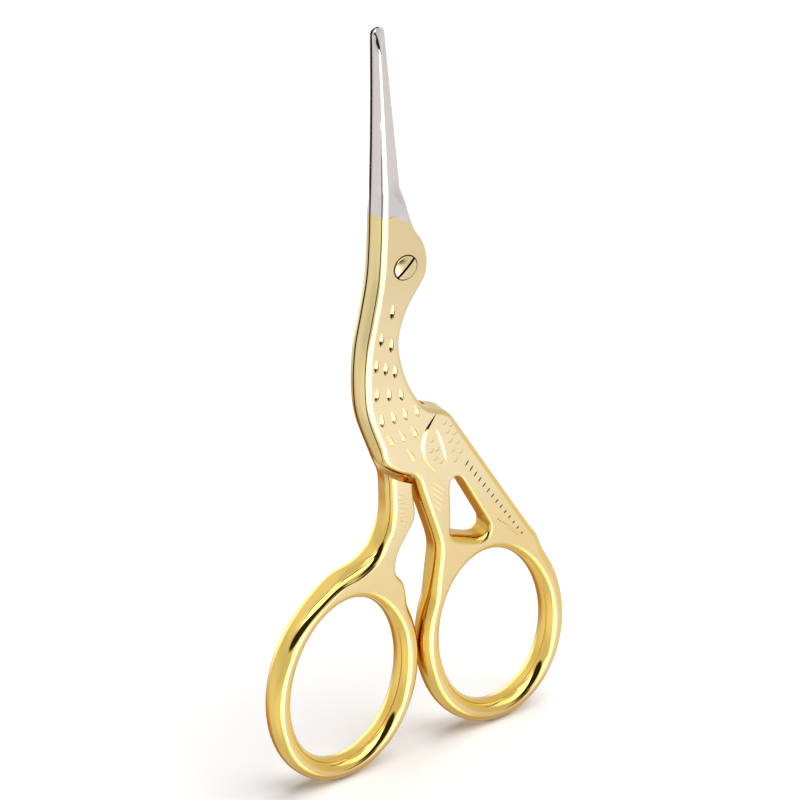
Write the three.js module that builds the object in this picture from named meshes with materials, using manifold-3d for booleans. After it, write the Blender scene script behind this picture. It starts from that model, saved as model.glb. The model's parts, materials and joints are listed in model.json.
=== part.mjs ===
// Embroidery scissors in the shape of a stork: two lapped halves that turn on one slotted screw.
// Millimetres. x runs across the rings, y through the thickness with the screw's head at -y, and z up.
import * as THREE from 'three';
import { mergeVertices } from 'three/addons/utils/BufferGeometryUtils.js';
import Module from 'manifold-3d';

// Thickness and the gaps of the lap joint
const thickness = 4; // legs, tail and rings, and the two halves together
const seamGap = 0.1; // between the ground flats of the two halves
const shoulderGap = 0.8; // where a leg meets the other half's body when closed
const ringGap = 0.3; // between the two rings when closed

// Heights above the rings, each from the end of the one before
const legLength = 13.216; // tops of the rings to the hip
const bodyLength = 33.5; // hip to pivot
const headLength = 8.3; // pivot to the root of the blades
const bladeLength = 27;

// Finger rings: a leaning oval bar
const ringHalfWidth = 10.698; // to the middle of the bar
const ringHalfHeight = 14.9; // to the middle of the bar
const ringNarrowing = 0.035; // share that the oval narrows towards its top
const ringLean = 7; // degrees, tops towards each other
const barWidth = 3.3;
const ringFade = 25; // degrees of ring over which a leg or the tail flows into the bar
const rimRoundShare = 0.9; // rounding of that flowing edge, as a share of its width on the bar

// Blades
const bladeBackAtRoot = 0.35; // right side of the closed blades, from the middle of the rings
const bladeBackAtTip = -1.35;
const bladeSpineAtRoot = -4.72; // left side of the closed blades
const bladeSpineAtTip = -3.28;
const bladeHollow = 0.16; // how far the left side curves in from a straight line
const edgeSetback = 0.45; // front cutting edge behind the rear blade's back
const edgeShow = 0.15; // rear cutting edge past the front blade's back
const edgeLand = 0.12; // thickness left at a cutting edge
const bevelShare = 0.57; // share of a blade's width that is ground to the edge
const tipThickness = 1.15; // of one blade
const tipRound = 0.9;
const tipFlat = 0.25; // share of a blade's width left at its very end
const runOut = 5; // length over which the ground bevel fades into the head
const bladeHeel = 1.5; // length of the blade's foot inside the head
const heelSink = 0.03; // foot below the head's surface

// Pivot screw
const pivotX = -0.6;
const screwHeadDiameter = 3.5;
const screwHeadHeight = 0.9;
const screwDome = 0.12;
const screwShankDiameter = 2.2;
const screwSlotWidth = 0.5;
const screwSlotDepth = 0.4;
const screwSlotTurn = 40; // degrees
const screwEndSink = 0.15; // end of the shank below the back face
const headClearance = 0.15; // around and under the head
const shankClearance = 0.05;

// Edge rounding of the forgings
const spineRound = 1.8;
const breastRound = 1;
const napeRound = 0.7;
const tailRound = 1;
const legRound = 1.3;
const innerLegRound = 0.65;
const windowRound = 0.5;
const windowSillRound = 1.4; // the sill is the top of the ring's round bar

// Outlines of the head as points of smooth curves, [x, height above the pivot]
const crownSpine = [[-5.02, 4], [-5.6, -1], [-6.75, -6]];
const head = [[1.35, 5.05], [2.6, 2.9], [3.15, 0.2], [2.75, -2.3], [1.4, -4.1], [-0.4, -6.7]];

// Outlines of the neck, body and thighs, [x, height above the hip]
const bodySpine = [[-7.95, 22.5], [-8.5, 16.8], [-8.1, 11.4], [-5.8, 4.1]];
const breast = [[-5.8, 4.1], [-4.3, 2.6], [-2.6, 1.3], [-0.3, 0]];
const nape = [[-1.6, 23.8], [-1.9, 21.2], [-1.35, 17.7], [-0.5, 15], [0.6, 12.65]];
const back = [[2.1, 10.65], [3.7, 9.75], [5.1, 9.15], [6.2, 8.15]];
const rump = [[7.2, 6.5]];
const rightThigh = [[-0.3, 0], [0.6, -3.7], [1.75, -7.7]];
const leftThigh = [[-5.8, 4.1], [-4.75, 1.4], [-4.65, -1.1], [-4.75, -4.4], [-5.35, -7]];
const leftInnerThigh = [[-0.6, -6.9], [-0.3, -5.4], [-0.5, -3], [-0.62, -0.8]];
const rearShoulder = [[-0.62, -0.8], [-0.1, 1.2], [0.7, 3.5], [1.6, 6.3], [2.9, 10.35]];
const lapFoot = [-0.62, -2.8]; // where the edge of the lap leaves the right thigh
const windowTop = [5.5, 1.3];

// Outlines of the lower legs and the tail's end, [x, height above the tops of the rings]
const tailEnd = [[18.1, 0.4], [20.3, -3.1]];
const rightShin = [[2.75, 1.9], [3, 0], [2.75, -2], [2.4, -4.1]];
const leftShin = [[-7.05, 3.3], [-9.6, 1.9], [-12.6, 0.9], [-15.2, -0.6]];
const leftAnkle = [[-2.35, -4.7], [-2.75, -3.1], [-3.8, -1.6], [-4, -0.3], [-3.4, 2], [-2, 4.2]];
const windowSill = [[5.5, 1.8], [13.6, -1.8]];
const windowCornerRounds = [0.45, 1.4, 1];

// Angles on a ring, in degrees, where the outlines reach its rim
const rightShinAngle = 142;
const tailAngle = 33;
const leftShinAngle = 58;
const leftAnkleAngle = 140;

// Feathers pressed into the body: rows of [count, first x, first height above the hip, step x, step height]
const featherRows = [
  [1, -3, 27.2, 0, 0],
  [2, -4.95, 23.5, 1.6, -1.2],
  [3, -5.9, 19.7, 1.5, -0.85],
  [3, -6, 15.4, 1.95, -0.55],
  [4, -5.5, 10.9, 1.93, 0],
  [3, -4.3, 7.5, 2, 0],
  [1, -1, 4.2, 0, 0],
];
const featherWidth = 0.6;
const featherLength = 1.9;
const featherDepth = 0.3;
const featherTilt = 10; // degrees, both across the body and into it

// Fineness of the curved forms
const outlineStep = 1.3;
const roundSteps = 3;
const ringSteps = 56;
const barSides = 12;
const runOutSteps = 4;
const bladeSteps = 5;
const tipSteps = 3;
const domeSteps = 2;
const cornerSteps = 6;
const screwSides = 24;
const featherSides = 8;
const featherRings = 6;

const half = thickness / 2;
const flat = seamGap / 2;
const past = 2 * thickness; // how far cutting tools reach past the metal
const wasm = await Module();
wasm.setup();

const radians = THREE.MathUtils.degToRad;
const lerp = THREE.MathUtils.lerp;
const smoothstep = THREE.MathUtils.smoothstep;

// Solids for cutting and joining

function solid(geometry) {
  const plain = geometry.clone();
  plain.deleteAttribute('normal');
  plain.deleteAttribute('uv');
  const merged = mergeVertices(plain, 1e-5);
  const vertProperties = new Float32Array(merged.attributes.position.array);
  const triVerts = new Uint32Array(merged.index.array);
  return new wasm.Manifold(new wasm.Mesh({ numProp: 3, vertProperties, triVerts }));
}

function geometryOf(manifold) {
  const mesh = manifold.getMesh();
  const geometry = new THREE.BufferGeometry();
  geometry.setAttribute('position', new THREE.BufferAttribute(mesh.vertProperties.slice(), 3));
  geometry.setIndex(new THREE.BufferAttribute(mesh.triVerts.slice(), 1));
  geometry.computeVertexNormals();
  return geometry;
}

// Rows of points of equal length, joined side by side. Open rows get a lid at each end.
function skin(rows, lids, closed) {
  const count = rows[0].length;
  const position = rows.flat(2);
  const index = [];
  const joints = closed ? rows.length : rows.length - 1;
  for (let row = 0; row < joints; row += 1) {
    const next = (row + 1) % rows.length;
    for (let i = 0; i < count; i += 1) {
      const a = row * count + i;
      const b = row * count + ((i + 1) % count);
      const c = next * count + i;
      const d = next * count + ((i + 1) % count);
      index.push(a, b, c, b, d, c);
    }
  }
  const last = (rows.length - 1) * count;
  for (const [a, b, c] of lids) {
    index.push(a, c, b, last + a, last + b, last + c);
  }
  const geometry = new THREE.BufferGeometry();
  geometry.setAttribute('position', new THREE.Float32BufferAttribute(position, 3));
  geometry.setIndex(index);
  return geometry;
}

function flipped(geometry) {
  const index = geometry.index.array;
  for (let i = 0; i < index.length; i += 3) {
    [index[i], index[i + 1]] = [index[i + 1], index[i]];
  }
  return geometry;
}

// Triangles that fill a row of points, turning the same way round as the row
function lidOf(points) {
  const contour = points.map(([x, z]) => new THREE.Vector2(x, z));
  const faces = THREE.ShapeUtils.triangulateShape(contour, []);
  return THREE.ShapeUtils.isClockWise(contour) ? faces.map(([a, b, c]) => [a, c, b]) : faces;
}

// A straight prism through the thickness between two depths
function prism(points, from, to) {
  const shape = new THREE.Shape(points.map(([x, z]) => new THREE.Vector2(x, z)));
  const geometry = new THREE.ExtrudeGeometry(shape, { depth: to - from, bevelEnabled: false });
  geometry.rotateX(Math.PI / 2);
  geometry.translate(0, to, 0);
  return solid(geometry);
}

// Outlines

const above = (base, points) => points.map(([x, rise]) => [x, base + rise]);
const mirrored = (points) => points.map(([x, z]) => [-x, z]);
const reversed = (list) => [...list].reverse();
const lastOf = (list) => list[list.length - 1];

// Even points along a smooth curve, without its last one
function along(points) {
  const curve = new THREE.SplineCurve(points.map(([x, z]) => new THREE.Vector2(x, z)));
  const count = Math.max(2, Math.round(curve.getLength() / outlineStep));
  return curve.getSpacedPoints(count).slice(0, -1).map((point) => [point.x, point.y]);
}

// A stretch of outline with one edge rounding
function run(points, round) {
  return { points, rounds: points.map(() => Math.min(round, half - flat)) };
}

const mirroredRun = ({ points, rounds }) => ({ points: mirrored(points), rounds });
const reversedRun = ({ points, rounds }) => ({ points: reversed(points), rounds: reversed(rounds) });

// Joins runs into one counter-clockwise outline that starts and ends square, at the root of a blade
function outlineOf(runs) {
  const points = runs.flatMap((stretch) => stretch.points);
  const rounds = runs.flatMap((stretch) => stretch.rounds);
  const inward = points.map((_, i) => inwardAt(points, i));
  const last = points.length - 1;
  inward[0] = leftOf(points[0], points[1]);
  inward[last] = leftOf(points[last - 1], points[last]);
  return { points, rounds: eased(eased(rounds)), inward };
}

// Lets a large rounding lessen gradually towards the smaller one beside it
function eased(values) {
  const count = values.length;
  return values.map((value, i) => {
    const before = values[Math.max(0, i - 1)];
    const after = values[Math.min(count - 1, i + 1)];
    return Math.min(value, (before + 2 * value + after) / 4);
  });
}

// Unit direction to the left of the line between two points
function leftOf([x0, z0], [x1, z1]) {
  const length = Math.hypot(x1 - x0, z1 - z0);
  return [-(z1 - z0) / length, (x1 - x0) / length];
}

// Direction from a point of a counter-clockwise outline into the metal
function inwardAt(points, i) {
  const count = points.length;
  return leftOf(points[(i + count - 1) % count], points[(i + 1) % count]);
}

// Lids and sides of a plate whose outline moves in or out by a quarter round towards each face.
// move is 1 for a plate with rounded edges, and -1 for a tool that leaves rounded edges.
function roundedPlate({ points, rounds, inward }, move, reach) {
  const rows = [];
  for (const side of [-1, 1]) {
    for (let step = 0; step <= roundSteps; step += 1) {
      const turn = side < 0 ? roundSteps - step : step;
      const angle = (Math.PI / 2) * (turn / roundSteps);
      const more = turn === roundSteps ? reach : 0;
      rows.push(reversed(points.map(([x, z], i) => {
        const [inX, inZ] = inward[i];
        const inset = move * rounds[i] * (1 - Math.cos(angle));
        const depth = half - rounds[i] * (1 - Math.sin(angle)) + more;
        return [x + inX * inset, side * depth, z + inZ * inset];
      })));
    }
  }
  return solid(skin(rows, lidOf(rows[0].map(([x, , z]) => [x, z])), false));
}

// Rings

function rightRing(angle) {
  const across = ringHalfWidth * Math.cos(angle) * (1 - ringNarrowing * Math.sin(angle));
  const up = ringHalfHeight * Math.sin(angle);
  const lean = radians(ringLean);
  return [across * Math.cos(lean) - up * Math.sin(lean), across * Math.sin(lean) + up * Math.cos(lean)];
}

const ringAngles = Array.from({ length: ringSteps }, (_, i) => (2 * Math.PI * i) / ringSteps);
const ringXs = ringAngles.map((angle) => rightRing(angle)[0]);
const ringZs = ringAngles.map((angle) => rightRing(angle)[1]);
const ringFromMiddle = ringGap / 2 + barWidth / 2 - Math.min(...ringXs);
const ringFromFloor = barWidth / 2 - Math.min(...ringZs);
const ringTop = ringFromFloor + Math.max(...ringZs) + barWidth / 2;

function ringPoint(angle) {
  const [x, z] = rightRing(angle);
  return [x + ringFromMiddle, z + ringFromFloor];
}

// Direction from a point of the right ring's bar towards the finger hole
function ringInward(angle) {
  const step = Math.PI / ringSteps;
  return leftOf(ringPoint(angle - step), ringPoint(angle + step));
}

const ringStepsBetween = (from, to) => Math.round((Math.abs(to - from) / 360) * ringSteps);

// Points on the middle of the right ring's bar between two angles in degrees
function ringArc(from, to) {
  const count = ringStepsBetween(from, to);
  return Array.from({ length: count + 1 }, (_, i) => ringPoint(radians(lerp(from, to, i / count))));
}

// Run that leaves the right ring's rim at one angle and sinks to the middle of its bar at another
function rimRun(from, to) {
  const points = [];
  const rounds = [];
  const count = ringStepsBetween(from, to);
  for (let i = 0; i < count; i += 1) {
    const angle = radians(lerp(from, to, i / count));
    const [x, z] = ringPoint(angle);
    const [inX, inZ] = ringInward(angle);
    const out = (barWidth / 2) * (1 - smoothstep(i / count, 0, 1));
    points.push([x - inX * out, z - inZ * out]);
    rounds.push(rimRoundShare * out);
  }
  return { points, rounds };
}

function ring() {
  const rows = ringAngles.map((angle) => {
    const [x, z] = ringPoint(angle);
    const [inX, inZ] = ringInward(angle);
    return Array.from({ length: barSides }, (_, side) => {
      const turn = (2 * Math.PI * side) / barSides;
      const out = (barWidth / 2) * Math.cos(turn);
      return [x - inX * out, half * Math.sin(turn), z - inZ * out];
    });
  });
  return solid(skin(rows, [], true));
}

// Blades

const hip = ringTop + legLength;
const pivotHeight = hip + bodyLength;
const bladeRoot = pivotHeight + headLength;
const bladeTip = bladeRoot + bladeLength;

// Left and right sides of the closed blades at a height
function bladeSides(height) {
  const share = (height - bladeRoot) / bladeLength;
  const bow = 4 * Math.max(0, share) * (1 - share);
  return {
    left: lerp(bladeSpineAtRoot, bladeSpineAtTip, share) + bladeHollow * bow,
    right: lerp(bladeBackAtRoot, bladeBackAtTip, share),
  };
}

// Points of a quarter round, as [in from the side, down from the face]
function quarterRound(radius) {
  return Array.from({ length: roundSteps + 1 }, (_, turn) => {
    const angle = (Math.PI / 2) * (turn / roundSteps);
    return [radius * (1 - Math.cos(angle)), radius * (1 - Math.sin(angle))];
  });
}

// Section of one blade from its back to its edge, as [from the back, from the seam].
// At the root it is the head's own section, and above that the bevel is ground to the edge.
function bladeSection(width, thick, grind, backRound, edgeRound) {
  const backLimit = Math.min(backRound, thick - flat, (1 - bevelShare) * width);
  const rise = quarterRound(backLimit).map(([across, below]) => [across, thick - below]);
  const fall = reversed(quarterRound(Math.min(edgeRound, thick - flat))).map(([across, below], turn) => {
    const share = turn / roundSteps;
    const groundX = lerp((1 - bevelShare) * width, width, share);
    const groundY = lerp(thick, flat + edgeLand, share);
    return [lerp(width - across, groundX, grind), lerp(thick - below, groundY, grind)];
  });
  return [[0, flat], ...rise, ...fall, [width, flat]];
}

// Heights of a blade's sections: its foot, the run-out, the plain length and the rounded tip
function bladeHeights() {
  const plainStart = bladeRoot + runOut;
  const tipStart = bladeTip - tipRound;
  const heights = [bladeRoot - bladeHeel];
  for (let i = 0; i < runOutSteps; i += 1) {
    heights.push(lerp(bladeRoot, plainStart, i / runOutSteps));
  }
  for (let i = 0; i < bladeSteps; i += 1) {
    heights.push(lerp(plainStart, tipStart, i / bladeSteps));
  }
  for (let i = 0; i <= tipSteps; i += 1) {
    heights.push(tipStart + tipRound * Math.sin((Math.PI / 2) * (i / tipSteps)));
  }
  return heights;
}

// One blade: side is -1 for the front one, with its back to the left, and 1 for the rear one
function blade(side) {
  const rows = bladeHeights().map((height) => {
    const { left, right } = bladeSides(height);
    const sink = height < bladeRoot ? heelSink : 0;
    const grind = smoothstep(height, bladeRoot, bladeRoot + runOut);
    const backX = side < 0 ? left + sink : right - sink;
    const edgeX = side < 0 ? right - grind * edgeSetback - sink : left - grind * edgeShow + sink;
    const thick = lerp(half, tipThickness, Math.max(0, (height - bladeRoot) / bladeLength)) - sink;
    const backRound = side < 0 ? spineRound : lerp(napeRound, spineRound, grind);
    const edgeRound = side < 0 ? napeRound : spineRound;
    const intoTip = Math.max(0, height - bladeTip + tipRound) / tipRound;
    const close = Math.max(tipFlat, Math.sqrt(Math.max(0, 1 - intoTip ** 2)));
    const middle = (backX + edgeX) / 2;
    const section = bladeSection(Math.abs(edgeX - backX), thick, grind, backRound, edgeRound);
    return section.map(([across, depth]) => [
      lerp(middle, backX - side * across, close),
      side * lerp(flat, depth, close),
      height,
    ]);
  });
  const geometry = skin(rows, lidOf(rows[0]), false);
  const facesOut = THREE.ShapeUtils.area(rows[0].map(([x, y]) => new THREE.Vector2(x, y))) > 0;
  return solid(facesOut ? geometry : flipped(geometry));
}

// Feathers, screw holes and the tail's window

function feathers(side) {
  const cuts = [];
  for (const [count, firstX, firstRise, stepX, stepRise] of featherRows) {
    for (let i = 0; i < count; i += 1) {
      const cut = new THREE.SphereGeometry(1, featherSides, featherRings);
      cut.scale(featherWidth / 2, featherDepth, featherLength / 2);
      cut.rotateX(side * radians(featherTilt));
      cut.rotateY(radians(featherTilt));
      cut.translate(firstX + i * stepX, side * half, hip + firstRise + i * stepRise);
      cuts.push(solid(cut));
    }
  }
  return cuts;
}

function bore(diameter, from, to) {
  const geometry = new THREE.CylinderGeometry(diameter / 2, diameter / 2, to - from, screwSides);
  geometry.translate(pivotX, (from + to) / 2, pivotHeight);
  return solid(geometry);
}

const shankBore = () => bore(screwShankDiameter + 2 * shankClearance, -past, past);
const counterboreFloor = -half + screwHeadHeight + headClearance;

// A polygon with each corner replaced by an arc of its own radius
function roundedPolygon(corners, radii) {
  const points = [];
  corners.forEach(([x, z], i) => {
    const corner = new THREE.Vector2(x, z);
    const before = new THREE.Vector2(...corners[(i + corners.length - 1) % corners.length]);
    const after = new THREE.Vector2(...corners[(i + 1) % corners.length]);
    const toBefore = before.sub(corner).normalize();
    const toAfter = after.sub(corner).normalize();
    const halfAngle = Math.acos(toBefore.dot(toAfter)) / 2;
    const middle = toBefore.clone().add(toAfter).normalize();
    const centre = corner.clone().addScaledVector(middle, radii[i] / Math.sin(halfAngle));
    const start = corner.clone().addScaledVector(toBefore, radii[i] / Math.tan(halfAngle)).sub(centre);
    const sweep = Math.PI - 2 * halfAngle;
    for (let step = 0; step <= cornerSteps; step += 1) {
      const turned = start.clone().rotateAround(new THREE.Vector2(), (sweep * step) / cornerSteps);
      points.push([centre.x + turned.x, centre.y + turned.y]);
    }
  });
  return points;
}

// The tool that cuts the tail's window and leaves its edges rounded, its sill more than its sides
function windowTool() {
  const sill = above(ringTop, windowSill);
  const points = roundedPolygon([...sill, ...above(hip, [windowTop])], windowCornerRounds);
  const inward = points.map((_, i) => inwardAt(points, i));
  const [upX, upZ] = leftOf(...sill);
  const rounds = inward.map(([inX, inZ]) => {
    const facesUp = smoothstep(inX * upX + inZ * upZ, 0.5, 1);
    return lerp(windowRound, windowSillRound, facesUp);
  });
  return roundedPlate({ points, rounds, inward }, -1, seamGap);
}

// The two halves

const leftEdge = along([
  [bladeSpineAtRoot, bladeRoot],
  ...above(pivotHeight, crownSpine),
  ...above(hip, bodySpine),
]);
const rightEdge = along([
  [bladeBackAtRoot, bladeRoot],
  ...above(pivotHeight, head),
  ...above(hip, nape),
  ...above(hip, back),
]);

function frontOutline() {
  const ringStart = rightShinAngle + ringFade;
  const ringEnd = tailAngle - ringFade;
  return outlineOf([
    run(leftEdge, spineRound),
    run(along(above(hip, breast)), breastRound),
    run(along([...above(hip, rightThigh), ...above(ringTop, rightShin)]), legRound),
    rimRun(rightShinAngle, ringStart),
    run(ringArc(ringStart, ringEnd), 0),
    reversedRun(rimRun(tailAngle, ringEnd)),
    run(along([...above(ringTop, reversed(tailEnd)), ...above(hip, rump)]), tailRound),
    run(reversed(rightEdge), napeRound),
  ]);
}

// The rear body ends at its shoulder, so its right edge stops where that begins
function rearOutline() {
  const ringStart = leftShinAngle - ringFade;
  const ringEnd = leftAnkleAngle + ringFade;
  const shoulder = above(hip, rearShoulder);
  const aboveShoulder = rightEdge.filter(([, z]) => z > lastOf(shoulder)[1] + napeRound);
  return outlineOf([
    run(leftEdge, spineRound),
    run(along([...above(hip, leftThigh), ...above(ringTop, leftShin)]), legRound),
    mirroredRun(rimRun(leftShinAngle, ringStart)),
    run(mirrored(ringArc(ringStart, ringEnd)), 0),
    mirroredRun(reversedRun(rimRun(leftAnkleAngle, ringEnd))),
    run(along([...above(ringTop, leftAnkle), ...above(hip, leftInnerThigh)]), innerLegRound),
    run(along(shoulder), napeRound),
    run(reversed(aboveShoulder), napeRound),
  ]);
}

// Everything above a line from left to right, as a prism between two depths
function lapAbove(line, from, to) {
  const far = bladeTip + past;
  const [, leftZ] = line[0];
  const [, rightZ] = lastOf(line);
  return prism([...line, [far, rightZ], [far, far], [-far, far], [-far, leftZ]], from, to);
}

// The rear body and its shoulder, cut from the back of the front half
function rearLap() {
  const shoulder = above(hip, rearShoulder).map(([x, z]) => [x + shoulderGap, z]);
  return lapAbove([...above(hip, [lapFoot]), ...along(shoulder), lastOf(shoulder)], -flat, past);
}

// The front body and its breast, cut from the front of the rear half
function frontLap() {
  const [downX, downZ] = leftOf(lastOf(breast), breast[0]).map((part) => shoulderGap * part);
  const ledge = above(hip, breast).map(([x, z]) => [x + downX, z + downZ]);
  return lapAbove([...along(ledge), lastOf(ledge)], -past, flat);
}

function frontHalf() {
  let metal = roundedPlate(frontOutline(), 1, 0).add(ring());
  metal = metal.subtract(windowTool());
  metal = metal.subtract(rearLap()).add(blade(-1));
  metal = metal.subtract(shankBore());
  metal = metal.subtract(bore(screwHeadDiameter + 2 * headClearance, -past, counterboreFloor));
  for (const cut of feathers(-1)) {
    metal = metal.subtract(cut);
  }
  return geometryOf(metal);
}

function rearHalf() {
  const leftRing = solid(flipped(geometryOf(ring()).scale(-1, 1, 1)));
  let metal = roundedPlate(rearOutline(), 1, 0).add(leftRing);
  metal = metal.subtract(frontLap()).add(blade(1));
  metal = metal.subtract(shankBore());
  for (const cut of feathers(1)) {
    metal = metal.subtract(cut);
  }
  return geometryOf(metal);
}

// Screw: a domed head on a plain shank, turned about y, with a slot across the head
function pivotScrew() {
  const headRadius = screwHeadDiameter / 2;
  const shankRadius = screwShankDiameter / 2;
  const under = counterboreFloor - headClearance;
  const top = under - screwHeadHeight;
  const end = half - screwEndSink;
  const profile = [];
  for (let i = 0; i <= domeSteps; i += 1) {
    profile.push([(headRadius * i) / domeSteps, top + screwDome * (i / domeSteps) ** 2]);
  }
  profile.push([headRadius, under], [shankRadius, under], [shankRadius, end], [0, end]);
  const turned = new THREE.LatheGeometry(profile.map(([r, y]) => new THREE.Vector2(r, y)), screwSides);
  const slot = new THREE.BoxGeometry(2 * screwHeadDiameter, 2 * screwSlotDepth, screwSlotWidth);
  slot.rotateY(radians(-screwSlotTurn));
  slot.translate(0, top, 0);
  const body = solid(turned).subtract(solid(slot));
  return geometryOf(body.translate([pivotX, 0, pivotHeight]));
}

const goldPlate = { color: 0xe6c877, roughness: 0.22, metalness: 1 };
const goldScrew = { color: 0xd8b860, roughness: 0.3, metalness: 1 };

function piece(name, geometry, finish) {
  const mesh = new THREE.Mesh(geometry, new THREE.MeshStandardMaterial(finish));
  mesh.name = name;
  return mesh;
}

const scissors = new THREE.Group();
scissors.add(piece('front_half', frontHalf(), goldPlate));
scissors.add(piece('rear_half', rearHalf(), goldPlate));
scissors.add(piece('pivot_screw', pivotScrew(), goldScrew));

export default scissors;
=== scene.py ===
import json
import math

import bmesh
import bpy
import numpy as np
from bpy.props import FloatProperty, FloatVectorProperty, PointerProperty
from mathutils import Matrix, Vector
from mathutils.geometry import delaunay_2d_cdt


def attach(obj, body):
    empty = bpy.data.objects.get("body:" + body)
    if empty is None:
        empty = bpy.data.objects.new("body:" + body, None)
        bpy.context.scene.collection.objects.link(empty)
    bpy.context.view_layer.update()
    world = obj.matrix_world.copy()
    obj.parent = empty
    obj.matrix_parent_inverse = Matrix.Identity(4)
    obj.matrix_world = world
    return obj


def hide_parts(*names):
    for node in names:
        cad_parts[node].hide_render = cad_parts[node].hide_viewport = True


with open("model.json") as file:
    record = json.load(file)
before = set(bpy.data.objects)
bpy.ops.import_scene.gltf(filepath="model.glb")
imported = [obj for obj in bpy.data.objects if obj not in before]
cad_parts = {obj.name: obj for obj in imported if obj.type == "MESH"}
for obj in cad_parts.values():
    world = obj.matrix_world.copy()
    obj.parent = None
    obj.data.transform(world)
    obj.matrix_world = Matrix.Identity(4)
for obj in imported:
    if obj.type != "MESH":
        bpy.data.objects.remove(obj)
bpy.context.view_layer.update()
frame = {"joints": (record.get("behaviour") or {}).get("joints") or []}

bl_info = {
    "name": "Stork embroidery scissors",
    "version": (1, 0, 0),
    "blender": (4, 5, 0),
    "location": "View3D > Sidebar > Scissors",
    "description": "Dresses the packed scissors with gold-plated halves and a slotted screw",
    "category": "Add Mesh",
}

MM = 0.001  # the code below works in millimetres and Blender in metres

# The screw's axis, and heights in the frame: root and tips of the blades, hip, tops of the rings
PIVOT_X, _, PIVOT = (value / MM for value in frame["joints"][0]["pos_m"])
BLADE_ROOT = PIVOT + 8.3
BLADE_TIP = BLADE_ROOT + 27
HIP = PIVOT - 33.5
RING_TOP = HIP - 13.216

# Outlines as points of smooth curves, [x, height] from the pivot, the hip or the tops of the rings
CROWN_SPINE = [[-5.02, 4], [-5.6, -1], [-6.75, -6]]
HEAD = [[1.35, 5.05], [2.6, 2.9], [3.15, 0.2], [2.75, -2.3], [1.4, -4.1], [-0.4, -6.7]]
BODY_SPINE = [[-7.95, 22.5], [-8.5, 16.8], [-8.1, 11.4], [-5.8, 4.1]]
BREAST = [[-5.8, 4.1], [-4.3, 2.6], [-2.6, 1.3], [-0.3, 0]]
NAPE = [[-1.6, 23.8], [-1.9, 21.2], [-1.35, 17.7], [-0.5, 15], [0.6, 12.65]]
BACK = [[2.1, 10.65], [3.7, 9.75], [5.1, 9.15], [6.2, 8.15]]
RUMP = [[7.2, 6.5]]
RIGHT_THIGH = [[-0.3, 0], [0.6, -3.7], [1.75, -7.7]]
LEFT_THIGH = [[-5.8, 4.1], [-4.75, 1.4], [-4.65, -1.1], [-4.75, -4.4], [-5.35, -7]]
LEFT_INNER_THIGH = [[-0.6, -6.9], [-0.3, -5.4], [-0.5, -3], [-0.62, -0.8]]
REAR_SHOULDER = [[-0.62, -0.8], [-0.1, 1.2], [0.7, 3.5], [1.6, 6.3], [2.9, 10.1]]
LAP_FOOT = [-0.62, -2.8]
WINDOW_TOP = [5.5, 1.3]
TAIL_END = [[20.3, -3.1], [18.1, 0.4]]
RIGHT_SHIN = [[2.75, 1.9], [3, 0], [2.75, -2], [2.4, -4.1]]
LEFT_SHIN = [[-7.05, 3.3], [-9.6, 1.9], [-12.6, 0.9], [-15.2, -0.6]]
SHIN_REACH = (-12, -7.5)  # between these x the left leg has its heavier rounding
LEFT_ANKLE = [[-2.35, -4.7], [-2.75, -3.1], [-3.8, -1.6], [-4, -0.3], [-3.4, 2], [-2, 4.2]]
WINDOW_SILL = [[5.5, 1.8], [13.6, -1.8]]
WINDOW_CORNER_ROUNDS = [0.45, 1.4, 1]
SILL_LEVEL = (0.5, 1)  # how nearly an edge runs along the sill where the sill's rounding sets in

# Finger rings: half width and half height to the middle of the bar, narrowing, lean and centre
RING_HALF_WIDTH = 10.698
RING_HALF_HEIGHT = 14.9
RING_NARROWING = 0.035
RING_LEAN = math.radians(7)
RING_X = 12.513
RING_Z = 16.497
BAR_CREST = 0.04  # half the flat along the crest of the bar
BAR_WALL = 0.02  # half the straight wall around the bar

# Angles on a ring, in degrees, where the outlines reach its rim
RIGHT_SHIN_ANGLE = 142
TAIL_ANGLE = 33
LEFT_SHIN_ANGLE = 58
LEFT_ANKLE_ANGLE = 140
FULL_TURN = 360

# Sides of the closed blades at root and tip, and their ground sections
BLADE_SPINE = (-4.72, -3.28)
BLADE_BACK = (0.35, -1.35)
BLADE_HOLLOW = 0.16
EDGE_SETBACK = 0.45
EDGE_SHOW = 0.15
EDGE_LAND = 0.12
BEVEL_SHARE = 0.57
TIP_ROUND = 0.9
TIP_FLAT = 0.25
TIP_TAPER = 3.2
TIP_THINNING = 0.6
RUN_OUT = 5
HEEL = 1.5
HEEL_SINK = 0.03
LEAST_WALL = 0.03
LEAST_FLAT = 0.01

# The fine line along the rounded left edges: its place round the edge in degrees, its half width
# in radians, and the shares of the blade between which it fades
NECK_LINE_TURN = 58
LEG_LINE_TURN = 42
PLAIN_TURN = 45
EDGE_LINE_HALF = 0.035
LINE_FADE = (0.1, 0.6)

# Engraving: sections of the gravers, as [across, depth] shares, the right side gentler on a wedge
ROUND_FLOOR = [(-1, 0), (-0.7, 0.5), (-0.35, 0.88), (0, 1), (0.35, 0.88), (0.7, 0.5), (1, 0)]
FEATHER_FLOOR = [
    (-1, 0), (-0.86, 1), (-0.5, 0.88), (0, 0.71), (0.5, 0.55), (0.88, 0.43), (1, 0),
]
WEDGE_FLOOR = [(-1, 0), (-0.86, 1), (-0.5, 0.81), (0, 0.54), (0.5, 0.27), (1, 0)]
STROKE_SPAN = (0.04, 0.96)
STROKE_TAPER = 0.6
STROKE_POINTS = 9

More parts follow.
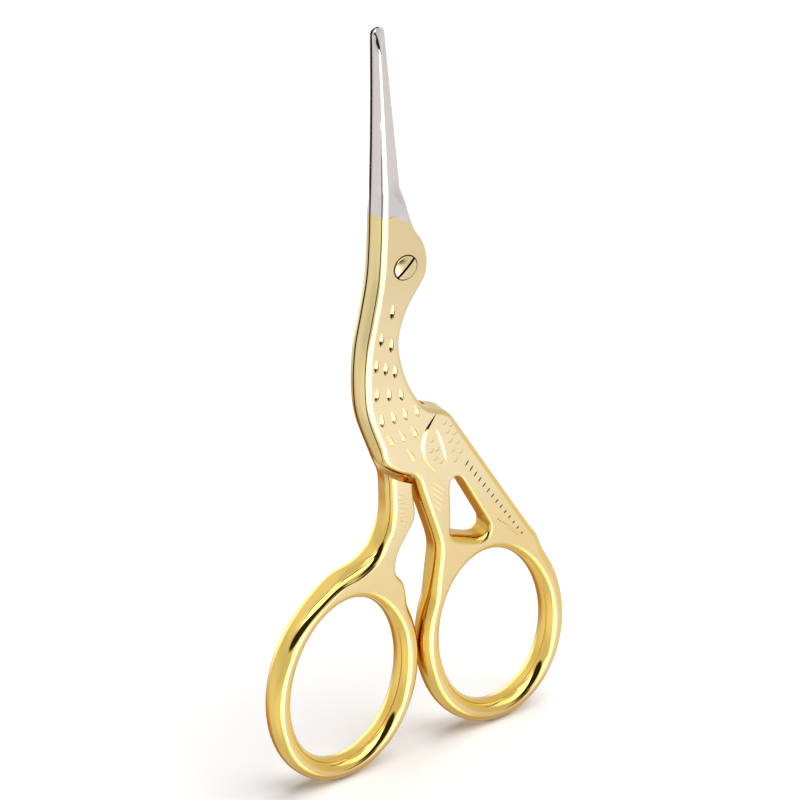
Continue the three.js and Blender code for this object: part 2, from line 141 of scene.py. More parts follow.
# Ornament on the faces, as [x, height from the hip]; lengths in millimetres and angles in degrees.
# A row of feathers is [count, x, height, step across, step up, lean, change of lean, length].
FEATHER_ROWS = [
    [1, -2.9, 27.4, 0, 0, -11, 0, 2.5],
    [2, -4.83, 23.7, 1.53, -1.4, -9, 3, 2.3],
    [3, -5.83, 19.8, 1.47, -0.85, -7, 3, 2.2],
    [3, -5.96, 15.3, 1.95, -0.53, -6, 7, 2.2],
    [4, -5.36, 11.1, 1.9, -0.07, 6, 4, 2.3],
    [3, -4.14, 7.5, 1.95, 0.07, 24, -1.5, 2.4],
    [1, -0.9, 4.05, 0, 0, 24.5, 0, 2.8],
]
FEATHER_SPAN = (0.02, 0.985)
FEATHER_POINTS = 17
FEATHER_DROOP = 1.25
FEATHER_FADE = (1, 0.5)
FEATHER_START = 0.35
FEATHER_DEEPENING = 0.9
FEATHER_END_SLOPE = 0.4
WING_EDGE = [
    [3.5, 9.3], [2.75, 8.4], [2.1, 7.55], [1.67, 6.8], [1.28, 5.7], [1.14, 4.9],
    [1.25, 3.9], [1.52, 2.55], [2.05, 1.4], [2.75, 0.3], [3.2, -0.3],
]
WING_EDGE_WIDTHS = [0.1, 0.5, 0.7, 0.95, 1, 0.95, 0.7, 0.45, 0.4, 0.35, 0.1]
WING_EDGE_DEPTHS = [0.2, 0.9, 1, 0.6, 0.55, 0.5, 0.4, 0.35, 0.3, 0.3, 0.1]
WING_EDGE_STEPS = 4
WING_QUILL = [[3.42, 6.9], [4.08, 4.9], [4.58, 2.9], [4.95, 1.1]]
QUILL_STEPS = 5
QUILL_WIDTH = 0.42
WING_SCALES = [
    [4.75, 7.7], [5.85, 7.0], [5.15, 6.1], [6.35, 5.5], [5.55, 4.5], [6.75, 3.9], [5.95, 2.8],
    [7.2, 2.2], [6.35, 1.1], [2.55, 5.5], [2.4, 3.9], [3.35, 3.8], [3.05, 2.4], [4.0, 1.6],
]
SCALE_RADIUS = 0.42
SCALE_LEAN = -55
SCALE_HALF_SWEEP = 75
SCALE_POINTS = 11
# Straight strokes of the tail: [count, first, last, leans, lengths, width, depth, graver]
TAIL_STROKES = [
    [14, [8.35, -0.3], [17.37, -15], (52, 31), (1, 0.45), 1.1, 3, ROUND_FLOOR],
    [10, [13.3, -11.4], [16.7, -14.9], (50, 10), (0.6, 0.6), 1, 0.5, WEDGE_FLOOR],
]
LEG_STROKES = [5, [[1.9, -0.9], [4.45, -3.5]], [[2.3, -4.9], [3.7, -6.6]]]
THIGH_WAVES = [9, [-3.2, -1.2], [-1.6, -7.4]]
WAVE_POINTS = 25
WAVE_FALL = 0.28
WAVE_HEIGHT = 0.1
WAVE_RADIANS_PER_MM = 3.4
WAVE_ROW_SHIFT = 1.7
# Widths and depths of these strokes as shares of the engraving's
QUILL_DEPTH = 0.8
SCALE_CUT = (1.3, 0.4)
LEG_CUT = (1, 0.35)
WAVE_CUT = (1.5, 0.28)

# The screw's turned head and the end of its shank
DOME_START = 0.04
RIM_TURNS = (0.14, math.pi / 2 - 0.08)
END_CHAMFER = 0.15

# Fineness of the curved forms
OUTLINE_STEP = 0.3
OUTLINE_SOFTENING = 0.5
EDGE_SOFTENING = 1.2
SOFTENING_REACH = 3
CURVE_STEPS = 40
ROUND_POINTS = 10
CORNER_POINTS = 12
RING_STEPS = 300
RING_NUDGE = 0.01
BLADE_STEPS = 90
TIP_POINTS = 14
DOME_POINTS = 14
RIM_POINTS = 16
SCREW_SIDES = 96
FILL_INSIDE = 1
FILL_NEARNESS = 1e-6
REACH = 8  # how far cutting tools reach past the metal
CUT_RISE = 0.3  # how far engraving tools stand above the face

# Shading of the meshes: degrees between faces, the y of a level face, weight of large faces
SHARP_ANGLE = 24
FACE_EDGE_ANGLE = 4
LEVEL_FACE = 0.99999
LARGE_FACE_WEIGHT = 80


def linear(code):
    """Linear colour of an sRGB hex value."""
    parts = [int(code[i:i + 2], 16) / 255 for i in (1, 3, 5)]
    return tuple(p / 12.92 if p <= 0.04045 else ((p + 0.055) / 1.055) ** 2.4 for p in parts)


def length(name, description, millimetres):
    return FloatProperty(
        name=name, description=description, default=millimetres * MM, unit='LENGTH', precision=5
    )


def colour(name, description, code):
    return FloatVectorProperty(
        name=name, description=description, default=linear(code),
        subtype='COLOR', size=3, min=0, max=1,
    )


class ForgingSizes(bpy.types.PropertyGroup):
    thickness: length("Thickness", "Legs, tail and rings, and the two halves together", 4)
    seam_gap: length("Seam gap", "Between the ground flats of the two halves", 0.1)
    rear_gap: length("Rear gap", "Gap between the rear shoulder and the front half", 0.15)
    shoulder_gap: length("Shoulder gap", "Where a leg meets the other half's body when closed", 0.8)
    bar_width: length("Bar width", "Width of the finger rings' bar", 3.3)
    spine_round: length("Spine rounding", "Left edge of the neck and body", 1.8)
    breast_round: length("Breast rounding", "Lower edge of the front body", 1)
    nape_round: length("Nape rounding", "Right edge of the head and neck", 0.7)
    tail_round: length("Tail rounding", "Outer edge of the tail", 1)
    leg_round: length("Leg rounding", "Outer edges of the legs", 1.3)
    shin_round: length("Shin rounding", "Outer edge of the left leg above its ring", 1.9)
    inner_leg_round: length("Inner leg rounding", "Right edge of the left leg", 0.65)
    window_round: length("Window rounding", "Sides of the tail's window", 0.5)
    sill_round: length("Sill rounding", "Foot of the tail's window", 1.4)
    tip_thickness: length("Tip thickness", "One blade at its tip", 1.15)
    edge_line: length("Edge line", "Depth of the fine line along the rounded left edges", 0.15)
    feather_width: length("Feather width", "Across one punched feather", 0.75)
    feather_depth: length("Feather depth", "Deepest part of a punched feather", 0.4)
    wing_edge_width: length("Wing edge width", "Across the groove that outlines the wing", 0.65)
    wing_edge_depth: length("Wing edge depth", "Depth of the groove that outlines the wing", 0.26)
    engraving_width: length("Engraving width", "Across the fine engraved strokes", 0.22)
    engraving_depth: length("Engraving depth", "Depth of the fine engraved strokes", 0.1)


class ScrewSizes(bpy.types.PropertyGroup):
    head_diameter: length("Head diameter", "Across the screw's head", 3.5)
    head_height: length("Head height", "Thickness of the screw's head", 0.9)
    dome: length("Dome", "Rise of the head's middle", 0.12)
    rim_round: length("Rim rounding", "Rounded rim of the head", 0.14)
    proud: length("Proud", "Rise of the domed head above the face", 0.3)
    rim_drop: length("Rim drop", "How far the rounded rim falls away", 0.12)
    shank_diameter: length("Shank diameter", "Across the screw's shank", 2.2)
    slot_width: length("Slot width", "Width of the driver slot", 0.4)
    slot_depth: length("Slot depth", "Depth of the driver slot", 0.6)
    slot_turn: FloatProperty(
        name="Slot turn", description="Slope of the driver slot", default=math.radians(40),
        subtype='ANGLE',
    )
    end_sink: length("End sink", "End of the shank below the back face", 0.15)
    head_clearance: length("Head clearance", "Around and under the head", 0.15)
    shank_clearance: length("Shank clearance", "Around the shank", 0.05)


class FinishColours(bpy.types.PropertyGroup):
    ring_gold: colour("Ring gold", "Polished gold plate of the rings and feet", "#f0cd70")
    body_gold: colour("Body gold", "Polished gold plate of the bird's rounded edges", "#e9d49b")
    # painted reflection: the paler gold painted on faces that look squarely forward or back
    flat_reflection_gold: colour("Flat gold", "Satin gold plate of the flat faces", "#f8e4b8")
    # painted reflection: the gold painted on the flat faces of the head, darker than on the body
    head_flat_reflection_gold: colour("Head gold", "Thin gold plate on the flat of the head", "#e6d0a2")
    # painted shade: the deeper gold painted into hollows
    hollow_shade_gold: colour("Deep gold", "Gold plate that faces gold in hollows", "#c78f28")
    steel: colour("Steel", "Polished bare steel of the blades", "#dad4d4")
    # painted shade: the dark painted along the gap between the halves and into narrow cuts and gaps
    seam: colour("Seam", "Oil-darkened edge where the halves meet", "#15110b")
    floor: colour("Floor", "Matt floor and backdrop", "#f2f2f2")


class ScissorSettings(bpy.types.PropertyGroup):
    forging: PointerProperty(type=ForgingSizes)
    screw: PointerProperty(type=ScrewSizes)
    finish: PointerProperty(type=FinishColours)


class Millimetres:
    """Reads a group of lengths in millimetres."""

    def __init__(self, group):
        self.group = group

    def __getattr__(self, name):
        return getattr(self.group, name) / MM


def settings():
    return bpy.context.scene.scissors


# Curves and outlines


def mix(a, b, share):
    return a + (b - a) * share


def ease(value, start, end):
    share = np.clip((value - start) / (end - start), 0, 1)
    return share * share * (3 - 2 * share)


def unit(vectors):
    return vectors / np.linalg.norm(vectors, axis=-1, keepdims=True)


def leftwards(vectors):
    """Vectors turned a quarter to the left."""
    return np.stack([-vectors[..., 1], vectors[..., 0]], axis=-1)


def above(base, points):
    return [[x, base + rise] for x, rise in points]


def evenly(points, step):
    """Points spaced evenly along a polyline, without its last one."""
    lengths = np.hypot(*np.diff(points[:, :2], axis=0).T)
    travelled = np.concatenate([[0], np.cumsum(lengths)])
    count = max(2, round(travelled[-1] / step))
    wanted = np.linspace(0, travelled[-1], count + 1)[:-1]
    return np.column_stack([np.interp(wanted, travelled, column) for column in points.T])


def along(points, steps=CURVE_STEPS):
    """Close points on a smooth curve through the given ones, without its last one."""
    given = np.array(points, float)
    ends = np.vstack([given[:1], given, given[-1:]])
    share = np.linspace(0, 1, steps, endpoint=False)[:, None]
    pieces = []
    for a, b, c, d in zip(ends, ends[1:], ends[2:], ends[3:]):
        leave, arrive = (c - a) / 2, (d - b) / 2
        pieces.append(
            (2 * b - 2 * c + leave + arrive) * share**3
            + (-3 * b + 3 * c - 2 * leave - arrive) * share**2
            + leave * share
            + b
        )
    return np.vstack(pieces)


def ring_points(angles, out):
    """Points of the right ring at angles in radians, out from the middle of its bar."""

    def middle(angle):
        across = RING_HALF_WIDTH * np.cos(angle) * (1 - RING_NARROWING * np.sin(angle))
        up = RING_HALF_HEIGHT * np.sin(angle)
        x = across * math.cos(RING_LEAN) - up * math.sin(RING_LEAN)
        z = across * math.sin(RING_LEAN) + up * math.cos(RING_LEAN)
        return np.column_stack([x + RING_X, z + RING_Z])

    ahead = unit(middle(angles + RING_NUDGE) - middle(angles - RING_NUDGE))
    return middle(angles) - out * leftwards(ahead)


def rim(start, end, out):
    count = max(2, round(abs(end - start) / FULL_TURN * RING_STEPS))
    return ring_points(np.radians(np.linspace(start, end, count, endpoint=False)), out)


def stretch(points, inset, drop=None, line=0, line_turn=PLAIN_TURN):
    """A stretch of outline with the inset and drop of its rounded edge, equal if only one is given,
    and the depth and place of its fine line."""
    points = np.asarray(points, float)
    edge = [inset, inset if drop is None else drop, line, line_turn]
    return np.hstack([points, np.tile(edge, (len(points), 1))])


def mirrored(rows):
    rows = np.array(rows, float)
    rows[:, 0] *= -1
    return rows


def softened(values, spread, closed):
    """Values blurred along an evenly spaced line, open lines keep their ends."""
    reach = int(SOFTENING_REACH * spread) + 1
    weights = np.exp(-0.5 * (np.arange(-reach, reach + 1) / spread) ** 2)
    weights /= weights.sum()
    if closed:
        padded = np.vstack([values[-reach:], values, values[:reach]])
    else:
        before = 2 * values[0] - values[reach:0:-1]
        after = 2 * values[-1] - values[-2:-reach - 2:-1]
        padded = np.vstack([before, values, after])
    return np.column_stack([np.convolve(column, weights, mode='valid') for column in padded.T])


def outline(stretches, closed):
    """Evenly spaced, softened points with edge sizes, and the directions into the metal."""
    rows = np.vstack(stretches)
    if closed:
        rows = evenly(np.vstack([rows, rows[:1]]), OUTLINE_STEP)
    else:
        rows = np.vstack([evenly(rows, OUTLINE_STEP), rows[-1:]])
    points = softened(rows[:, :2], OUTLINE_SOFTENING / OUTLINE_STEP, closed)
    edges = softened(rows[:, 2:], EDGE_SOFTENING / OUTLINE_STEP, closed)
    ahead = np.roll(points, -1, axis=0) - np.roll(points, 1, axis=0)
    if not closed:
        ahead[0] = points[1] - points[0]
        ahead[-1] = points[-1] - points[-2]
    return points, edges, leftwards(unit(ahead))


# Meshes in millimetres


def bands(rows, count, start=0):
    """Corners of the faces between rows of points that go round."""
    for a in range(start, start + (rows - 1) * count, count):
        b = a + count
        for i in range(count):
            j = (i + 1) % count
            yield a + i, a + j, b + j, b + i


def skin(rows):
    """Closed skin over rows of points that go round, with a lid at each end."""
    rows = np.asarray(rows, float)
    count = rows.shape[1]
    faces = list(bands(len(rows), count))
    last = (len(rows) - 1) * count
    faces.append(tuple(range(count))[::-1])
    faces.append(tuple(range(last, last + count)))
    return rows.reshape(-1, 3), faces


def within(spots, loop):
    """Which spots lie inside a closed loop."""
    inside = np.zeros(len(spots), bool)
    for (x0, z0), (x1, z1) in zip(loop, np.roll(loop, -1, axis=0)):
        level = (spots[:, 1] < z0) != (spots[:, 1] < z1)
        if level.any():
            inside ^= level & (spots[:, 0] < x0 + (spots[:, 1] - z0) * (x1 - x0) / (z1 - z0))
    return inside


def plate(outlines, half):
    """A plate with rounded edges inside the first outline and around the holes of the others."""
    verts, faces, rims, borders, front, rear = [], [], [], [], [], []
    start = 0
    steps = np.linspace(0, 1, ROUND_POINTS)
    for points, edges, inward in outlines:
        count = len(points)
        inset, drop, groove, line = edges.T
        line = np.radians(line)
        turns = [(mix(math.pi / 2, line + EDGE_LINE_HALF, step), 0) for step in steps]
        turns += [(line, groove)]
        turns += [(mix(line - EDGE_LINE_HALF, 0, step), 0) for step in steps]
        rows = []
        for side, order in ((-1, turns), (1, turns[::-1])):
            for turn, cut in order:
                into = inset * (1 - np.cos(turn)) + cut * np.cos(turn)
                depth = half - drop * (1 - np.sin(turn)) - cut * np.sin(turn)
                flat = points + inward * into[:, None]
                rows.append(np.column_stack([flat[:, 0], side * depth, flat[:, 1]]))
        faces.extend((a, d, c, b) for a, b, c, d in bands(len(rows), count, start))
        begin = len(front)
        borders.extend((begin + i, begin + (i + 1) % count) for i in range(count))
        front.extend(range(start, start + count))
        start += len(rows) * count
        rear.extend(range(start - count, start))
        rims.append(rows[0][:, [0, 2]])
        verts.extend(rows)
    flat_points = np.vstack(rims)
    filled = delaunay_2d_cdt(
        [Vector(point) for point in flat_points], borders, [], FILL_INSIDE, FILL_NEARNESS
    )
    if len(filled[0]) != len(flat_points):
        raise RuntimeError("an edge rounding of the plate crosses itself")
    came_from = [original[0] for original in filled[3]]
    triangles = np.array([[came_from[i] for i in face] for face in filled[2]])
    for hole in rims[1:]:
        triangles = triangles[~within(flat_points[triangles].mean(axis=1), hole)]
    for corners in triangles:
        faces.append(tuple(front[i] for i in corners))
        faces.append(tuple(rear[i] for i in reversed(corners)))
    return np.vstack(verts), faces


def prism(points, near, far):
    """A straight prism through the thickness between two depths."""
    points = np.asarray(points, float)
    return skin([np.insert(points, 1, y, axis=1) for y in (near, far)])


def turned(profile):
    """A solid turned about the screw's axis from [radius, y] points."""
    around = np.linspace(0, 2 * math.pi, SCREW_SIDES, endpoint=False)
    circle = np.column_stack([np.cos(around), np.zeros(SCREW_SIDES), np.sin(around)])
    return skin([radius * circle + [PIVOT_X, y, PIVOT] for radius, y in profile])


def joined(solids):
    verts, faces, start = [], [], 0
    for points, polygons in solids:
        verts.append(points)
        faces.extend(tuple(start + i for i in polygon) for polygon in polygons)
        start += len(points)
    return np.vstack(verts), faces


def new_object(name, solid):
    points, faces = solid
    mesh = bpy.data.meshes.new(name)
    mesh.from_pydata((np.asarray(points) * MM).tolist(), [], faces)
    work = bmesh.new()
    work.from_mesh(mesh)
    bmesh.ops.recalc_face_normals(work, faces=work.faces)
    work.to_mesh(mesh)
    work.free()
    thing = bpy.data.objects.new(name, mesh)
    bpy.context.scene.collection.objects.link(thing)
    return thing


def combine(thing, solid, operation):
    """Joins another solid to an object, or cuts it away."""
    tool = new_object("tool", solid)
    modifier = thing.modifiers.new("combine", 'BOOLEAN')
    modifier.operation = operation
    modifier.object = tool
    modifier.solver = 'MANIFOLD'
    evaluated = thing.evaluated_get(bpy.context.evaluated_depsgraph_get())
    shaped = bpy.data.meshes.new_from_object(evaluated)
    if not shaped.polygons:
        raise RuntimeError("nothing is left of " + thing.name)
    thing.modifiers.clear()
    used = thing.data, tool.data
    thing.data = shaped
    bpy.data.objects.remove(tool)
    for mesh in used:
        bpy.data.meshes.remove(mesh)


def finished(thing, material, body, node):
    """Shades a piece smoothly between its edges and hands it to the frame."""
    thing.data.name = thing.name
    thing.data.shade_smooth()
    thing.data.set_sharp_from_angle(angle=math.radians(SHARP_ANGLE))
    crisp = bmesh.new()
    crisp.from_mesh(thing.data)
    for edge in crisp.edges:
        level = [abs(face.normal.y) > LEVEL_FACE for face in edge.link_faces]
        if any(level) and not all(level):
            if edge.calc_face_angle() > math.radians(FACE_EDGE_ANGLE):
                edge.smooth = False
    crisp.to_mesh(thing.data)
    crisp.free()
    weighted = thing.modifiers.new("flat faces stay flat", 'WEIGHTED_NORMAL')
    weighted.keep_sharp = True
    weighted.weight = LARGE_FACE_WEIGHT
    thing.data.materials.clear()
    thing.data.materials.append(material)
    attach(thing, body)
    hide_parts(node)


# The forgings


def left_edge(sizes):
    """The spine of the head, neck and body, with its fine line."""
    points = [[BLADE_SPINE[0], BLADE_ROOT], *above(PIVOT, CROWN_SPINE), *above(HIP, BODY_SPINE)]
    return stretch(
        along(points), sizes.spine_round, line=sizes.edge_line, line_turn=NECK_LINE_TURN
    )


def right_edge():
    """The back, nape and head, upwards from the rump."""
    root = [BLADE_BACK[0], BLADE_ROOT]
    return along([root, *above(PIVOT, HEAD), *above(HIP, NAPE), *above(HIP, BACK)])[::-1]


def bar_edge(sizes):
    """Inset and drop that leave a finger ring's bar all but round."""
    return sizes.bar_width / 2 - BAR_CREST, sizes.thickness / 2 - BAR_WALL


def ring_hole(sizes):
    return stretch(rim(0, -FULL_TURN, -sizes.bar_width / 2), *bar_edge(sizes))


def window_hole(sizes):
    """The tail's window: a triangle with rounded corners, clockwise so that its inside is metal."""
    corners = np.array([*above(RING_TOP, WINDOW_SILL), *above(HIP, [WINDOW_TOP])])
    points = []
    for i, corner in enumerate(corners):
        before = unit(corners[i - 1] - corner)
        after = unit(corners[(i + 1) % len(corners)] - corner)
        half_angle = math.acos(before @ after) / 2
        centre = corner + unit(before + after) * WINDOW_CORNER_ROUNDS[i] / math.sin(half_angle)
        start = corner + before * WINDOW_CORNER_ROUNDS[i] / math.tan(half_angle) - centre
        for turn in np.linspace(0, math.pi - 2 * half_angle, CORNER_POINTS):
            points.append(centre + math.cos(turn) * start + math.sin(turn) * leftwards(start))
    points = np.array(points)
    ahead = unit(np.roll(points, -1, axis=0) - points)
    level = ease(ahead @ unit(corners[1] - corners[0]), *SILL_LEVEL)
    rows = stretch(points, 0)
    rows[:, 2:4] = mix(sizes.window_round, sizes.sill_round, level)[:, None]
    return rows[::-1]


def front_outlines(sizes):
    leg = [*above(HIP, RIGHT_THIGH), *above(RING_TOP, RIGHT_SHIN)]
    tail = [*above(RING_TOP, TAIL_END), *above(HIP, RUMP)]
    ring = rim(RIGHT_SHIN_ANGLE, TAIL_ANGLE + FULL_TURN, sizes.bar_width / 2)
    outer = [
        left_edge(sizes),
        stretch(along(above(HIP, BREAST)), sizes.breast_round),
        stretch(along(leg), sizes.leg_round),
        stretch(ring, *bar_edge(sizes)),
        stretch(along(tail), sizes.tail_round),
        stretch(right_edge(), sizes.nape_round),
    ]
    holes = [ring_hole(sizes), window_hole(sizes)]
    return [outline(outer, False), *(outline([hole], True) for hole in holes)]


def rear_outlines(sizes):
    leg = along([*above(HIP, LEFT_THIGH), *above(RING_TOP, LEFT_SHIN)])
    shin = (leg[:, 0] > SHIN_REACH[0]) & (leg[:, 0] < SHIN_REACH[1])
    leg = stretch(leg, sizes.leg_round, line=sizes.edge_line, line_turn=LEG_LINE_TURN)
    leg[shin, 2:4] = sizes.shin_round
    inner_leg = [*above(RING_TOP, LEFT_ANKLE), *above(HIP, LEFT_INNER_THIGH)]
    shoulder = above(HIP, REAR_SHOULDER)
    nape = right_edge()
    nape = nape[nape[:, 1] > shoulder[-1][1] + OUTLINE_STEP]
    ring = rim(LEFT_SHIN_ANGLE, LEFT_ANKLE_ANGLE - FULL_TURN, sizes.bar_width / 2)
    outer = [
        left_edge(sizes),
        leg,
        stretch(mirrored(ring), *bar_edge(sizes)),
        stretch(along(inner_leg), sizes.inner_leg_round),
        stretch(along(shoulder), sizes.nape_round),
        stretch(nape, sizes.nape_round),
    ]
    hole = mirrored(ring_hole(sizes))[::-1]
    return [outline(outer, False), outline([hole], True)]


def quarter_round(radius, groove=0):
    """A rounded edge from its side to its face, as [inset, drop], with the neck's fine line."""
    line = math.radians(NECK_LINE_TURN)
    steps = np.linspace(0, 1, ROUND_POINTS)
    lower = mix(0, line - EDGE_LINE_HALF, steps)
    upper = mix(line + EDGE_LINE_HALF, math.pi / 2, steps)
    turns = np.concatenate([lower, [line], upper])
    cut = np.where(turns == line, groove, 0)
    inset = radius * (1 - np.cos(turns)) + cut * np.cos(turns)
    return np.column_stack([inset, radius * (1 - np.sin(turns)) + cut * np.sin(turns)])


def blade_section(sizes, width, thick, grind, back_round, edge_round, groove):
    """Section of one blade from its back to its edge, as [from the back, from the seam]."""
    flat = sizes.seam_gap / 2
    highest = thick - flat - LEAST_WALL
    bevel_start = (1 - BEVEL_SHARE) * width
    rise = quarter_round(min(back_round, highest, bevel_start - LEAST_FLAT), groove)
    rise[:, 1] = thick - rise[:, 1]
    fall = quarter_round(min(edge_round, highest))[::-1]
    share = np.linspace(0, 1, len(fall))
    fall = np.column_stack([
        mix(width - fall[:, 0], mix(bevel_start, width, share), grind),
        mix(thick - fall[:, 1], mix(thick, flat + EDGE_LAND, share), grind),
    ])
    return np.vstack([[0, flat], rise, fall, [width, flat]])


def blade(sizes, side):
    """One blade: side is -1 for the front one, with its back to the left, and 1 for the rear."""
    half = sizes.thickness / 2
    flat = sizes.seam_gap / 2
    tip_base = BLADE_TIP - TIP_ROUND
    heights = [BLADE_ROOT - HEEL]
    heights.extend(np.linspace(BLADE_ROOT, tip_base, BLADE_STEPS, endpoint=False))
    heights.extend(tip_base + TIP_ROUND * np.sin(np.linspace(0, math.pi / 2, TIP_POINTS)))
    rows = []
    for height in heights:
        share = (height - BLADE_ROOT) / (BLADE_TIP - BLADE_ROOT)
        bow = 4 * max(0, share) * (1 - share)
        left = mix(*BLADE_SPINE, share) + BLADE_HOLLOW * bow
        right = mix(*BLADE_BACK, share)
        sink = HEEL_SINK if height < BLADE_ROOT else 0
        grind = ease(height, BLADE_ROOT, BLADE_ROOT + RUN_OUT)
        if side < 0:
            back_x, edge_x = left + sink, right - grind * EDGE_SETBACK - sink
            back_round, edge_round = sizes.spine_round, sizes.nape_round
            groove = sizes.edge_line * (1 - ease(share, *LINE_FADE))
        else:
            back_x, edge_x = right - sink, left - grind * EDGE_SHOW + sink
            back_round = mix(sizes.nape_round, sizes.spine_round, grind)
            edge_round = sizes.spine_round
            groove = 0
        thick = mix(half, sizes.tip_thickness, max(0, share)) - sink
        thick *= 1 - TIP_THINNING * ease(height, BLADE_TIP - TIP_TAPER, BLADE_TIP)
        into_tip = max(0, height - tip_base) / TIP_ROUND
        close = max(TIP_FLAT, math.sqrt(max(0, 1 - into_tip**2)))
        middle = (back_x + edge_x) / 2
        width = abs(edge_x - back_x)
        section = blade_section(sizes, width, thick, grind, back_round, edge_round, groove)
        rows.append(np.column_stack([
            mix(middle, back_x - side * section[:, 0], close),
            side * mix(flat, section[:, 1], close),
            np.full(len(section), height),
        ]))
    return skin(rows)


def lap_above(line, near, far):
    """Everything above a line from left to right, as a prism between two depths."""
    top = BLADE_TIP + REACH
    corners = [[top, line[-1][1]], [top, top], [-top, top], [-top, line[0][1]]]
    return prism(np.vstack([line, corners]), near, far)


def rear_lap(sizes):
    """The rear body and its shoulder, cut from the back of the front half."""
    shoulder = np.array(above(HIP, REAR_SHOULDER)) + [sizes.rear_gap, 0]
    foot = above(HIP, [LAP_FOOT])
    line = np.vstack([foot, evenly(along(shoulder), OUTLINE_STEP), shoulder[-1:]])
    return lap_above(line, -sizes.seam_gap / 2, REACH)


def front_lap(sizes):
    """The front body and its breast, cut from the front of the rear half."""
    across = unit(np.array(BREAST[0]) - BREAST[-1])
    ledge = np.array(above(HIP, BREAST)) + leftwards(across) * sizes.shoulder_gap
    line = np.vstack([evenly(along(ledge), OUTLINE_STEP), ledge[-1:]])
    return lap_above(line, -REACH, sizes.seam_gap / 2)


def bore(diameter, near, far):
    return turned([[diameter / 2, near], [diameter / 2, far]])


def shank_hole(screw):
    return bore(screw.shank_diameter + 2 * screw.shank_clearance, -REACH, REACH)


def forge(thing, lap, its_blade, holes, ornament):
    """Turns a plate into a half: lap joint, blade, holes for the screw and engraving."""
    combine(thing, lap, 'DIFFERENCE')
    combine(thing, its_blade, 'UNION')
    for cut in (*holes, joined(ornament)):
        combine(thing, cut, 'DIFFERENCE')


# Engraving


def cut_along(points, widths, depths, floor, face):
    """The metal that a graver takes along a line, out of the face at a depth."""
    points = np.asarray(points, float)
    across = leftwards(unit(np.gradient(points, axis=0)))
    inward = -math.copysign(1, face)
    rows = []
    for point, side, width, depth in zip(points, across, widths, depths):
        section = [(u, inward * depth * share) for u, share in floor]
        section += [(u, -inward * CUT_RISE) for u in (1, -1)]
        rows.append([[*(point + side * u * width / 2), y] for u, y in section])
    rows = np.array(rows)[:, :, [0, 2, 1]]
    rows[:, :, 1] += face
    return skin(rows)


def tapered(points, width, depth, floor, face):
    """A cut that runs out at both ends."""
    share = np.sin(math.pi * np.linspace(*STROKE_SPAN, len(points))) ** STROKE_TAPER
    return cut_along(points, width * share, depth * share, floor, face)


def punched_feathers(sizes, face):
    """Drop-shaped scoops that deepen downwards and to the left."""
    cuts = []
    share = np.linspace(*FEATHER_SPAN, FEATHER_POINTS)
    wide = np.sin(math.pi * share**FEATHER_DROOP) ** STROKE_TAPER * sizes.feather_width
    for row, (count, x, rise, step_x, step_z, lean, more_lean, long) in enumerate(FEATHER_ROWS):
        floor = sizes.feather_depth * mix(*FEATHER_FADE, row / (len(FEATHER_ROWS) - 1))
        deep = floor * (FEATHER_START + FEATHER_DEEPENING * share)
        deep = np.minimum(deep, FEATHER_END_SLOPE * long * (1 - share))
        for i in range(count):
            turn = math.radians(lean + i * more_lean)
            half = np.array([math.sin(turn), -math.cos(turn)]) * long / 2
            middle = np.array([x + i * step_x, HIP + rise + i * step_z])
            points = middle + half * (2 * share[:, None] - 1)
            cuts.append(cut_along(points, wide, deep, FEATHER_FLOOR, face))
    return cuts


def wing_edge(sizes, face):
    """The groove between body and wing, steep towards the body."""
    rows = np.column_stack([above(HIP, WING_EDGE), WING_EDGE_WIDTHS, WING_EDGE_DEPTHS])
    rows = along(rows, WING_EDGE_STEPS)
    widths, depths = sizes.wing_edge_width * rows[:, 2], sizes.wing_edge_depth * rows[:, 3]
    return cut_along(rows[:, :2], widths, depths, WEDGE_FLOOR, face)


def wing_and_tail(sizes, face):
    """Quill and scale strokes of the wing, strokes of the tail and strokes on the leg below."""
    wide, deep = sizes.engraving_width, sizes.engraving_depth
    quill = along(above(HIP, WING_QUILL), QUILL_STEPS)
    cuts = [tapered(quill, QUILL_WIDTH, QUILL_DEPTH * deep, WEDGE_FLOOR, face)]
    strokes = []
    sweep = np.linspace(-SCALE_HALF_SWEEP, SCALE_HALF_SWEEP, SCALE_POINTS)
    turns = np.radians(SCALE_LEAN + sweep)
    arc = np.column_stack([np.cos(turns), np.sin(turns)]) * SCALE_RADIUS
    for spot in above(HIP, WING_SCALES):
        strokes.append((arc + spot, *SCALE_CUT, WEDGE_FLOOR))
    for count, first, last, leans, lengths, *graver in TAIL_STROKES:
        for share in np.linspace(0, 1, count):
            turn = math.radians(mix(*leans, share))
            half = np.array([math.cos(turn), math.sin(turn)]) * mix(*lengths, share) / 2
            middle = mix(np.array(first), np.array(last), share) + [0, HIP]
            strokes.append((np.linspace(middle - half, middle + half, STROKE_POINTS), *graver))
    count, first, last = LEG_STROKES
    for share in np.linspace(0, 1, count):
        ends = mix(np.array(first), np.array(last), share) + [0, HIP]
        strokes.append((np.linspace(*ends, STROKE_POINTS), *LEG_CUT, WEDGE_FLOOR))
    for points, width, depth, floor in strokes:
        cuts.append(tapered(points, width * wide, depth * deep, floor, face))
    return cuts


def thigh_waves(sizes, face):
    """Rows of wavy strokes on the left thigh."""
    count, reach, heights = THIGH_WAVES
    x = np.linspace(*reach, WAVE_POINTS)
    width, depth = WAVE_CUT[0] * sizes.engraving_width, WAVE_CUT[1] * sizes.engraving_depth
    cuts = []
    for row, rise in enumerate(np.linspace(*heights, count)):
        ripple = WAVE_HEIGHT * np.sin(WAVE_RADIANS_PER_MM * x + WAVE_ROW_SHIFT * row)
        z = HIP + rise - WAVE_FALL * (x - x[0]) + ripple
        cuts.append(tapered(np.column_stack([x, z]), width, depth, WEDGE_FLOOR, face))
    return cuts


# Materials. Each plated steel is a name, how strongly its hollows get painted shade in a deeper
# gold, and the width of the cuts and gaps that get painted dark shade.
FORGED = ("gold_plated_forged_steel", 0.65, 0.5 * MM)
TURNED = ("gold_plated_turned_steel", 0.1, 0.65 * MM)
